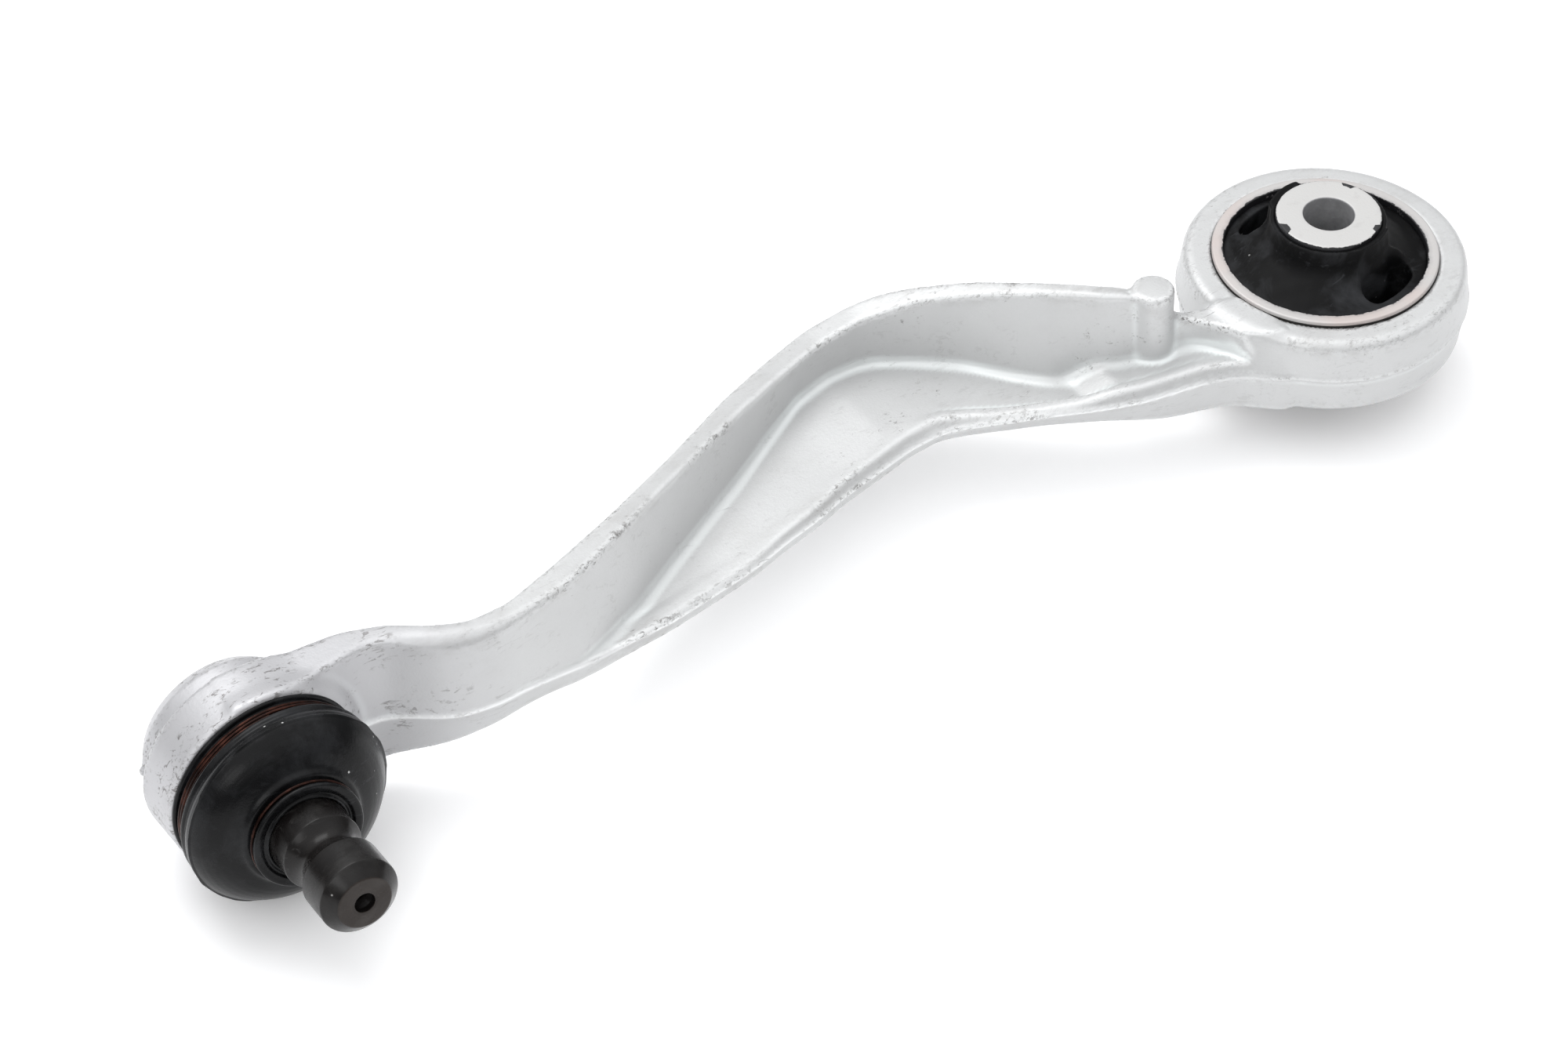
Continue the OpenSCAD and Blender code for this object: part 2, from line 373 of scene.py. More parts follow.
def bend_between(piece, nodes):
    """Bakes a soft piece's placement into its mesh and hides the CAD pieces it replaces."""
    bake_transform(piece)
    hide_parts(*nodes)
    return piece


# ---------------------------------------------------------------- shader helpers


class Tree:
    """Short calls for building a node tree."""

    def __init__(self, tree):
        self.tree = tree

    def add(self, kind, inputs=None, **settings):
        node = self.tree.nodes.new(kind)
        for key, value in settings.items():
            setattr(node, key, value)
        for key, value in (inputs or {}).items():
            self.put(value, node.inputs[key])
        return node

    def put(self, value, socket):
        if isinstance(value, bpy.types.NodeSocket):
            self.tree.links.new(value, socket)
        elif socket.type == "RGBA" and hasattr(value, "__len__"):
            socket.default_value = (*value[:3], 1)
        else:
            socket.default_value = value

    def math(self, operation, a, b=0.0, c=0.0, clamp=False):
        node = self.add("ShaderNodeMath", {0: a, 1: b, 2: c}, operation=operation)
        node.use_clamp = clamp
        return node.outputs[0]

    def mix(self, share, a, b):
        node = self.add("ShaderNodeMix", data_type="RGBA")
        self.put(share, node.inputs["Factor"])
        self.put(a, node.inputs[6])
        self.put(b, node.inputs[7])
        return node.outputs[2]

    def span(self, value, low, high, to_low=0.0, to_high=1.0, smooth=False):
        node = self.add("ShaderNodeMapRange", {"Value": value, "From Min": low, "From Max": high,
                                               "To Min": to_low, "To Max": to_high})
        node.interpolation_type = "SMOOTHSTEP" if smooth else "LINEAR"
        return node.outputs[0]

    def noise(self, vector, scale, detail=3.0, rough=0.55, distort=0.0):
        node = self.add("ShaderNodeTexNoise", {"Vector": vector, "Scale": scale, "Detail": detail,
                                               "Roughness": rough, "Distortion": distort})
        return node.outputs[0]

    def field(self, name):
        """A value stored on the mesh."""
        return self.add("ShaderNodeAttribute", attribute_name=name).outputs["Fac"]

    def radius(self, xyz):
        """Distance from the Z axis, from a Separate XYZ node."""
        squares = [self.math("POWER", xyz.outputs[k], 2.0) for k in (0, 1)]
        return self.math("SQRT", self.math("ADD", *squares))

    def stretch(self, vector, scale, turn_by=(0, 0, 0)):
        node = self.add("ShaderNodeMapping", {"Vector": vector, "Scale": scale, "Rotation": turn_by})
        return node.outputs[0]


def effect(name, inputs, outputs):
    """Empty node group with named inputs and outputs: (group, tree helper, input node, output node)."""
    group = bpy.data.node_groups.new(name, "ShaderNodeTree")
    for label, kind, value in inputs:
        socket = group.interface.new_socket(label, in_out="INPUT", socket_type=kind)
        if value is not None:
            socket.default_value = value
    for label, kind in outputs:
        group.interface.new_socket(label, in_out="OUTPUT", socket_type=kind)
    t = Tree(group)
    return group, t, group.nodes.new("NodeGroupInput"), group.nodes.new("NodeGroupOutput")


VEC, NUM = "NodeSocketVector", "NodeSocketFloat"


def grain_group():
    """Fine blasted or moulded grain: a height and a tone."""
    name = "surface_grain"
    if name in bpy.data.node_groups:
        return bpy.data.node_groups[name]
    group, t, i, o = effect(name, [("Position", VEC, None), ("Grain Size", NUM, 0.0006),
                                   ("Waviness", NUM, 0.3)],
                            [("Height", NUM), ("Tone", NUM)])
    p, size = i.outputs[0], t.math("DIVIDE", 1.0, i.outputs[1])
    fine = t.noise(p, size, 2.0, 0.6)
    cells = t.add("ShaderNodeTexVoronoi", {"Vector": p, "Scale": t.math("MULTIPLY", size, 0.55)})
    pits = cells.outputs["Distance"]
    wide = t.noise(p, 95.0, 2.0, 0.5)
    height = t.math("ADD", t.math("MULTIPLY", fine, 0.65), t.math("MULTIPLY", pits, 0.35))
    t.put(t.math("MULTIPLY_ADD", wide, i.outputs[2], height), o.inputs[0])
    t.put(t.math("MULTIPLY_ADD", t.noise(p, 38.0, 4.0, 0.6), 0.7, t.math("MULTIPLY", fine, 0.3)), o.inputs[1])
    return group


def scuff_group():
    """Dark handling marks: broken specks on proud edges and a few long fine scratches."""
    name = "handling_scuffs"
    if name in bpy.data.node_groups:
        return bpy.data.node_groups[name]
    group, t, i, o = effect(name, [("Position", VEC, None), ("Edge", NUM, 0.0), ("Amount", NUM, 0.5),
                                   ("Near Edge", NUM, 0.0)],
                            [("Mask", NUM), ("Scratch", NUM), ("Smear", NUM)])
    p, edge, amount = i.outputs[0], i.outputs[1], i.outputs[2]
    near = i.outputs[3]
    patch = t.span(t.noise(p, 48.0, 3.0, 0.6), 0.42, 0.62)
    patch_two = t.span(t.noise(p, 31.0, 2.0, 0.5), 0.57, 0.66)
    speck = t.span(t.noise(t.stretch(p, (0.5, 1, 1), (0.1, 0, 0.55)), 1500.0, 5.0, 0.72, 0.5), 0.53, 0.60)
    blot = t.span(t.noise(p, 420.0, 6.0, 0.75, 0.3), 0.55, 0.64)
    worn = t.math("MULTIPLY", t.math("MULTIPLY", patch, t.math("MAXIMUM", speck, blot)), edge, clamp=True)
    rub = t.math("MULTIPLY", t.math("MULTIPLY", patch, t.math("MULTIPLY", speck, blot)), near, clamp=True)
    thin = t.span(t.noise(p, 300.0, 5.0, 0.7), 0.56, 0.66)
    rare = t.math("MULTIPLY", patch_two, t.math("MULTIPLY", speck, thin))
    lines = 0.0
    for turn_by in ((0.2, 0.1, 0.62), (0.9, 0.4, -0.5)):
        q = t.stretch(p, (0.09, 1, 1), turn_by)
        line = t.span(t.noise(q, 900.0, 2.0, 0.5, 1.2), 0.72, 0.735)
        lines = t.math("MAXIMUM", line, lines)
    lines = t.math("MULTIPLY", lines, t.span(t.noise(p, 60.0, 2.0), 0.56, 0.64))
    mask = t.math("MAXIMUM", t.math("MAXIMUM", worn, rub), t.math("MULTIPLY", rare, 0.8))
    mask = t.math("MAXIMUM", mask, t.math("MULTIPLY", lines, 0.5))
    t.put(t.math("MULTIPLY", mask, amount, clamp=True), o.inputs[0])
    t.put(lines, o.inputs[1])
    smear = t.span(t.noise(t.stretch(p, (0.5, 1, 1), (0, 0, 0.4)), 150.0, 6.0, 0.75), 0.48, 0.75)
    t.put(t.math("MULTIPLY", smear, t.math("MULTIPLY_ADD", near, 0.7, 0.12)), o.inputs[2])
    return group


def dust_group():
    """Pale handling dust: cloudy smudges, fine wiped streaks and single white specks."""
    name = "pale_dust"
    if name in bpy.data.node_groups:
        return bpy.data.node_groups[name]
    group, t, i, o = effect(name, [("Position", VEC, None), ("Smudge", NUM, 0.4), ("Specks", NUM, 0.5)],
                            [("Mask", NUM), ("Speck", NUM)])
    p, smudge, specks = i.outputs[0], i.outputs[1], i.outputs[2]
    cloud = t.span(t.noise(p, 75.0, 5.0, 0.62, 0.4), 0.5, 0.78)
    streak = t.span(t.noise(t.stretch(p, (0.08, 1, 1), (0.5, 0.7, 0.4)), 800.0, 2.0, 0.5, 0.8), 0.58, 0.72)
    streak = t.math("MULTIPLY", streak, t.span(t.noise(p, 50.0, 2.0), 0.45, 0.65))
    film = t.math("MULTIPLY", t.math("MAXIMUM", cloud, t.math("MULTIPLY", streak, 0.7)), smudge, clamp=True)
    cells = t.add("ShaderNodeTexVoronoi", {"Vector": p, "Scale": 330.0, "Randomness": 1.0})
    dot = t.span(cells.outputs["Distance"], 0.10, 0.05)
    pick = t.span(t.add("ShaderNodeSeparateColor", {0: cells.outputs["Color"]}).outputs[0], 0.93, 0.94)
    dot = t.math("MULTIPLY", t.math("MULTIPLY", dot, pick), specks, clamp=True)
    t.put(film, o.inputs[0])
    t.put(dot, o.inputs[1])
    return group


def turning_group():
    """Tool lines left by turning about an axis: a height."""
    name = "turning_lines"
    if name in bpy.data.node_groups:
        return bpy.data.node_groups[name]
    group, t, i, o = effect(name, [("Position", VEC, None), ("Pitch", NUM, 0.0002)],
                            [("Height", NUM), ("Tone", NUM)])
    p = t.add("ShaderNodeSeparateXYZ", {0: i.outputs[0]})
    r = t.radius(p)
    along = t.math("ADD", r, p.outputs[2])
    wave = t.math("SINE", t.math("DIVIDE", t.math("MULTIPLY", along, 6.2832), i.outputs[1]))
    line = t.add("ShaderNodeCombineXYZ", {0: along, 1: 0.0, 2: 0.0}).outputs[0]
    uneven = t.noise(line, 1800.0, 3.0, 0.6)
    t.put(t.math("MULTIPLY_ADD", wave, 0.25, uneven), o.inputs[0])
    t.put(uneven, o.inputs[1])
    return group


def use(t, group, **inputs):
    """Places an effect in a material with its own values."""
    node = t.tree.nodes.new("ShaderNodeGroup")
    node.node_tree = group
    for key, value in inputs.items():
        t.put(value, node.inputs[key.replace("_", " ")])
    return node.outputs


def surface(name):
    """New material: (material, tree helper, principled shader, object position)."""
    old = bpy.data.materials.get(name)
    if old:
        bpy.data.materials.remove(old)
    material = bpy.data.materials.new(name)
    material.use_nodes = True
    t = Tree(material.node_tree)
    shader = material.node_tree.nodes["Principled BSDF"]
    p = t.add("ShaderNodeTexCoord").outputs["Object"]
    return material, t, shader, p


def on_axis(t, p, where):
    """Position seen from a piece's own axis, for turned patterns."""
    inverse = where.inverted()
    node = t.add("ShaderNodeMapping", {"Vector": p, "Location": inverse.translation,
                                       "Rotation": inverse.to_euler("XYZ")})
    return node.outputs[0]


def bumped(t, shader, height, strength, depth):
    node = t.add("ShaderNodeBump", {"Strength": strength, "Distance": depth, "Height": height})
    t.put(node.outputs[0], shader.inputs["Normal"])


def forged_aluminium(metal, wear):
    material, t, shader, p = surface("forged_aluminium_skin")
    edge = t.field("proud_edge_wear_and_highlight")
    root = t.field("root")
    grain = use(t, grain_group(), Position=p, Grain_Size=0.00042, Waviness=0.5)
    near = t.field("near_edge")
    scuffs = use(t, scuff_group(), Position=p, Edge=edge, Near_Edge=near, Amount=wear)
    dim = [c * 0.90 for c in metal]
    base = t.mix(grain["Tone"], dim, [min(1, c * 1.07) for c in metal])
    base = t.mix(t.math("MULTIPLY", scuffs["Smear"], 0.42), base, (0.30, 0.285, 0.27))
    # Painted highlight: the root fillets are lightened to near white.
    base = t.mix(t.math("MULTIPLY", root, 0.75), base, (0.93, 0.97, 0.965))
    # Painted highlight: the proud edges of the rib and eye are lightened.
    base = t.mix(t.math("MULTIPLY", edge, 0.45), base, (0.86, 0.87, 0.87))
    # Painted shade: the ball end of the arm is darkened, as the light falls off there; the same zone sets
    # where the dark marks gather.
    along = t.add("ShaderNodeSeparateXYZ", {0: p}).outputs[0]
    ball_end_shade_and_marks = t.span(along, 0.2, 0.236)
    base = t.mix(t.math("MULTIPLY", ball_end_shade_and_marks, 0.55), base, (0.43, 0.425, 0.45))
    streak = t.span(t.noise(t.stretch(p, (0.3, 1, 1), (0.15, 0, 0.45)), 950.0, 4.0, 0.7, 0.8), 0.545, 0.60)
    clump = t.span(t.noise(p, 120.0, 4.0, 0.65), 0.50, 0.58)
    marks = t.math("MULTIPLY", t.math("MULTIPLY", streak, clump), t.span(ball_end_shade_and_marks, 0.0, 1.0, 0.12, 0.8))
    base = t.mix(marks, base, (0.13, 0.12, 0.115))
    # Painted highlight: a near-white line along the flash ridge on the parting line.
    flash = t.field("flash")
    base = t.mix(t.math("MULTIPLY", flash, 0.85), base, (0.95, 0.96, 0.96))
    base = t.mix(scuffs["Mask"], base, (0.085, 0.075, 0.068))
    t.put(base, shader.inputs["Base Color"])
    shader.inputs["Metallic"].default_value = 0.35
    rough = t.span(grain["Tone"], 0.0, 1.0, 0.34, 0.46)
    t.put(t.math("MULTIPLY_ADD", scuffs["Smear"], 0.15, rough), shader.inputs["Roughness"])
    height = t.math("MULTIPLY_ADD", scuffs["Mask"], -0.8, grain["Height"])
    bumped(t, shader, height, 0.35, 0.00012)
    return material


def turned_sleeve(colour):
    """Warm pale ring of the bush, rubber smeared over its inner rim, painted shade on the outer wall below
    the top.
    """
    material, t, shader, p = surface("turned_sleeve_finish")
    grain = use(t, grain_group(), Position=p, Grain_Size=0.00035, Waviness=0.2)
    lines = use(t, turning_group(), Position=p, Pitch=0.00022)
    xyz = t.add("ShaderNodeSeparateXYZ", {0: p})
    r = t.radius(xyz)
    ragged = t.math("MULTIPLY_ADD", t.math("SUBTRACT", t.noise(p, 420.0, 5.0, 0.75), 0.5), 0.0016, r)
    smear = t.span(ragged, 0.02105, 0.02120, 1.0, 0.0)
    grime = t.span(ragged, 0.0210, 0.0220, 0.6, 0.0)
    base = t.mix(grain["Tone"], [c * 0.93 for c in colour], [min(1, c * 1.05) for c in colour])
    base = t.mix(t.span(t.noise(p, 45.0, 3.0), 0.48, 0.66, 0.0, 0.4), base, (0.60, 0.47, 0.43))
    base = t.mix(t.math("MULTIPLY", grime, t.noise(p, 900.0, 4.0)), base, (0.16, 0.16, 0.17))
    # Painted shade: the outer wall below the top edge is painted near black for the shaded gap between the
    # eye and the ring.
    low = t.math("LESS_THAN", t.math("ABSOLUTE", xyz.outputs[2]), half_length("bush_outer_sleeve") - 0.00078)
    eye_gap_shade = t.math("MULTIPLY", t.span(r, 0.0229, 0.0231), low)
    base = t.mix(eye_gap_shade, base, (0.03, 0.028, 0.026))
    base = t.mix(smear, base, (0.012, 0.012, 0.014))
    t.put(base, shader.inputs["Base Color"])
    t.put(t.math("MULTIPLY", t.math("SUBTRACT", 1.0, smear), 0.35), shader.inputs["Metallic"])
    t.put(t.span(grain["Tone"], 0.0, 1.0, 0.42, 0.56), shader.inputs["Roughness"])
    height = t.math("MULTIPLY_ADD", lines["Height"], 0.3, grain["Height"])
    bumped(t, shader, t.math("MULTIPLY_ADD", smear, 1.5, height), 0.3, 0.00012)
    return material


def bolt_sleeve_finish(colour):
    """Pale matt end faces with torn rubber flash, and a greyer drilled bore."""
    material, t, shader, p = surface("bolt_sleeve_finish")
    grain = use(t, grain_group(), Position=p, Grain_Size=0.0003, Waviness=0.2)
    xyz = t.add("ShaderNodeSeparateXYZ", {0: p})
    r = t.radius(xyz)
    bore = t.span(r, 0.00545, 0.0053)
    angle = t.math("ARCTAN2", xyz.outputs[1], xyz.outputs[0])
    torn = 0.0
    for centre, half, depth in ((-0.12, 0.16, 0.0013), (2.12, 0.12, 0.0009), (-2.62, 0.15, 0.0011)):
        apart = t.math("ABSOLUTE", t.math("SUBTRACT", angle, centre))
        torn = t.math("MAXIMUM", t.math("MULTIPLY", t.span(apart, half, half * 0.6), depth), torn)
    uneven = t.math("MULTIPLY", t.math("SUBTRACT", t.noise(p, 700.0, 4.0, 0.7), 0.45), 0.0007)
    limit = t.math("SUBTRACT", 0.01075, t.math("ADD", torn, uneven))
    flash = t.math("GREATER_THAN", r, limit)
    base = t.mix(grain["Tone"], [c * 0.96 for c in colour], [min(1, c * 1.08) for c in colour])
    base = t.mix(t.span(t.noise(p, 260.0, 4.0, 0.7), 0.56, 0.72, 0.0, 0.3), base, (0.42, 0.41, 0.40))
    base = t.mix(bore, base, t.mix(t.noise(p, 500.0, 4.0, 0.7), (0.20, 0.20, 0.205), (0.46, 0.46, 0.47)))
    base = t.mix(flash, base, (0.014, 0.014, 0.016))
    t.put(base, shader.inputs["Base Color"])
    t.put(t.math("MULTIPLY", t.math("SUBTRACT", 1.0, flash), 0.3), shader.inputs["Metallic"])
    t.put(t.span(grain["Tone"], 0.0, 1.0, 0.45, 0.6), shader.inputs["Roughness"])
    bumped(t, shader, t.math("MULTIPLY_ADD", flash, 2.0, grain["Height"]), 0.35, 0.00012)
    return material


def moulded_rubber(name, colour, smudge, specks, rough, grain_size=0.0004):
    material, t, shader, p = surface(name)
    grain = use(t, grain_group(), Position=p, Grain_Size=grain_size, Waviness=0.4)
    dust = use(t, dust_group(), Position=p, Smudge=smudge, Specks=specks)
    base = t.mix(grain["Tone"], [c * 0.7 for c in colour], [c * 1.4 for c in colour])
    base = t.mix(dust["Mask"], base, (0.075, 0.078, 0.085))
    base = t.mix(dust["Speck"], base, (0.75, 0.75, 0.74))
    t.put(base, shader.inputs["Base Color"])
    low, high = rough
    t.put(t.math("MULTIPLY_ADD", dust["Mask"], 0.25, t.span(grain["Tone"], 0.0, 1.0, low, high)),
          shader.inputs["Roughness"])
    shader.inputs["Specular IOR Level"].default_value = 0.16
    bumped(t, shader, t.math("MULTIPLY_ADD", dust["Speck"], 1.5, grain["Height"]), 0.25, 0.0001)
    return material


def blackened_steel(colour, where):
    material, t, shader, p = surface("blackened_steel_finish")
    own = on_axis(t, p, where)
    lines = use(t, turning_group(), Position=own, Pitch=0.00018)
    dust = use(t, dust_group(), Position=p, Smudge=0.25, Specks=0.8)
    scuffs = use(t, scuff_group(), Position=p, Edge=0.6, Amount=0.4)
    along = t.add("ShaderNodeSeparateXYZ", {0: own}).outputs[2]
    end = t.span(along, 0.0482, 0.04835)
    base = t.mix(t.noise(p, 160.0, 4.0, 0.6), [c * 0.6 for c in colour], [c * 1.5 for c in colour])
    base = t.mix(end, base, t.mix(lines["Tone"], (0.012, 0.009, 0.008), (0.034, 0.026, 0.021)))
    base = t.mix(t.math("MULTIPLY", scuffs["Smear"], 0.35), base, (0.10, 0.08, 0.07))
    pale = t.math("MAXIMUM", dust["Speck"], t.math("MULTIPLY", dust["Mask"], 0.25))
    base = t.mix(pale, base, (0.45, 0.44, 0.43))
    t.put(base, shader.inputs["Base Color"])
    shader.inputs["Metallic"].default_value = 0.0
    shader.inputs["Specular IOR Level"].default_value = 0.14
    t.put(t.span(t.noise(p, 240.0, 3.0), 0.3, 0.7, 0.2, 0.34), shader.inputs["Roughness"])
    shader.inputs["Coat Weight"].default_value = 0.15
    shader.inputs["Coat Roughness"].default_value = 0.18
    bumped(t, shader, lines["Height"], 0.18, 0.00006)
    return material


def copper_wire(colour):
    material, t, shader, p = surface("clamp_wire_finish")
    grain = use(t, grain_group(), Position=p, Grain_Size=0.0002, Waviness=0.2)
    tone = t.span(t.noise(p, 260.0, 4.0, 0.7), 0.45, 0.7)
    base = t.mix(tone, [c * 0.08 for c in colour], [c * 0.45 for c in colour])
    t.put(base, shader.inputs["Base Color"])
    shader.inputs["Metallic"].default_value = 0.85
    t.put(t.span(grain["Tone"], 0.0, 1.0, 0.22, 0.4), shader.inputs["Roughness"])
    bumped(t, shader, grain["Height"], 0.2, 0.00005)
    return material


def plain_moulding(name, colour, rough, metallic, grain_size):
    material, t, shader, p = surface(name)
    grain = use(t, grain_group(), Position=p, Grain_Size=grain_size, Waviness=0.3)
    dust = use(t, dust_group(), Position=p, Smudge=0.2, Specks=0.1)
    base = t.mix(grain["Tone"], [c * 0.8 for c in colour], [min(1, c * 1.15) for c in colour])
    base = t.mix(t.math("MULTIPLY", dust["Mask"], 0.5), base, [c * 0.4 for c in colour])
    t.put(base, shader.inputs["Base Color"])
    shader.inputs["Metallic"].default_value = metallic
    t.put(t.span(grain["Tone"], 0.0, 1.0, rough * 0.85, rough * 1.15), shader.inputs["Roughness"])
    bumped(t, shader, grain["Height"], 0.3, 0.0001)
    return material


# ---------------------------------------------------------------- forging

RIB_BACK = Station([(22, 3), (32, -0.5), (43, -3.5), (52.5, -9), (61.5, -16.5), (71, -25.3), (81, -32.6),
                    (87, -35.8), (93, -37.3), (104, -36.7), (116, -32.6), (130, -26.6), (150, -16.2),
                    (170, -6.6), (187, 0), (200, 4.4), (209, 5), (216, 2.6), (223, -1.8), (232, -4.4),
                    (246, -5), (262, -5)], 1.6)
RIB_TOP = Station([(22, 8.8), (36, 8.7), (39, 11), (43, 16), (48, 18), (54, 18.6), (61.5, 18.2), (71, 16.6),
                   (81, 14.4), (93, 11.6), (104, 10.6), (116, 11), (130, 12.2), (150, 14), (170, 16),
                   (187, 16.6), (200, 16.8), (209, 17.2), (216, 17.8), (223, 18.2), (232, 18.6),
                   (246, 18.8), (262, 18.8)], 1.6)
RIB_INNER = Station([(23, 24), (25.4, 19.9), (28.1, 12.4), (31.1, 6.5), (34, 3), (36.5, 0.6), (40, -0.3),
                     (45, -0.6), (52.5, -4.4), (61.5, -11.8), (71, -20), (81, -27.6), (93, -32),
                     (104, -31.1), (116, -26.9), (130, -21), (150, -11.3), (170, -1.4), (187, 6.2),
                     (200, 9.2), (206, 10), (211, 9.7), (217, 8), (223, 4.8), (230, 3.2), (238, 4.6),
                     (246, 5.4), (262, 5.6)], 1.4)
EDGE_ROUND = Station([(22, 1), (185, 1), (200, 1.8), (212, 3.6), (232, 3.6), (246, 2.2), (262, 2)], 4)
ROOT_LINE = Station([(24, 24), (26, 20.4), (28.4, 14), (30.4, 8.6), (32.4, 5.2), (35, 3), (38.5, 2.4),
                     (43.6, 1.6), (47, 0), (52.5, -1.6), (57, -5), (63, -7.4), (66, -10.4), (70, -14.8),
                     (75, -20.4), (80, -24.4), (85, -27.6), (91, -30.6), (96, -31.4), (102, -31),
                     (111, -29), (123, -22.3), (135, -15.4), (147, -9.3), (158, -3.4), (169, 2.8),
                     (179, 7.4), (188, 11), (199, 11.2), (206, 12), (213, 11.3), (217, 9.8), (221, 7),
                     (226, 3.6), (231, 3), (236, 5), (246, 5.6), (262, 5.6)], 1.4)
PARTING = Station([(24, 19), (29, 15), (31, 13.2), (38, 11), (45, 10), (52, 9), (58, 7.2), (64, 5), (70, 2),
                   (76, -0.8), (84, -5), (90, -7.4), (98, -6.9), (107, -4.8), (116, -2.8), (125, 0.2),
                   (134, 2.4), (143, 5.2), (165, 9.2), (188, 11.6), (199, 11.6), (206, 12.2), (213, 11.4),
                   (217, 9.9), (221, 7.1), (226, 4), (231, 3.4), (237, 4.8), (246, 5.6), (262, 5.6)], 1.8)
PART_LEVEL = Station([(24, 0), (66, 0), (92, -2.3), (165, -2.3), (188, -0.4), (262, 0)], 4)
POCKET = Station([(20, 2.6), (29, 2.5), (40, 2.1), (54.5, 2), (60.5, -1.2), (70, -1.4), (81, -0.9), (92, 0),
                  (102, 0.6), (115, 0), (130, -0.5), (150, -1.2), (170, -1.5), (188, -1.2),
                  (262, -1.2)], 0.8)
RIM_TOP = Station([(22, 2.7), (28, 2.7), (38, 2.8), (56, 2.8), (63, 1.5), (70, 0.8), (78, 0.2), (92, 0.3),
                   (115, 0.1), (150, -1.1), (188, -1.2), (262, -1.2)], 2)
UNDER = Station([(20, -9.3), (42, -9), (48, -8), (55, -6.8), (62, -5.8), (74, -5.2), (90, -5.4),
                 (104, -5.6), (195, -5.6), (200, -6.6), (205, -7.7), (210, -8.4), (215, -9.5), (220, -11.6),
                 (225, -14), (229, -16), (236, -18), (254, -18.6)], 2)
LEAN_UP = Station([(24, 0.5), (64, 0.6), (80, 0.9), (95, 0.7), (170, 0.5), (190, 0.1), (262, 0.1)], 3)
LEAN_LOW = Station([(24, 0.12), (46, 0.18), (56, 0.5), (66, 0.6), (80, 0.5), (92, 0.25), (102, 0.12),
                    (185, 0.12), (205, 0.3), (262, 0.3)], 3)


# Sizes of the forging that no curve above holds, in millimetres.
BOSS_X, BOSS_Y, BOSS_RADIUS, BOSS_TOP, BOSS_FOOT = 42.6, -2.2, 4.45, 18.1, -7
HOUSING_RADIUS, COLLAR_RADIUS, HOUSING_BACK, HOUSING_FRONT = 20.3, 17.35, -13.1, 9.95
SEAT_RADIUS, ROLLED_RADIUS, MOUTH_RADIUS = 15, 14.1, 12.6
SEAT_BACK, SEAT_FRONT = -12.7, 6.45


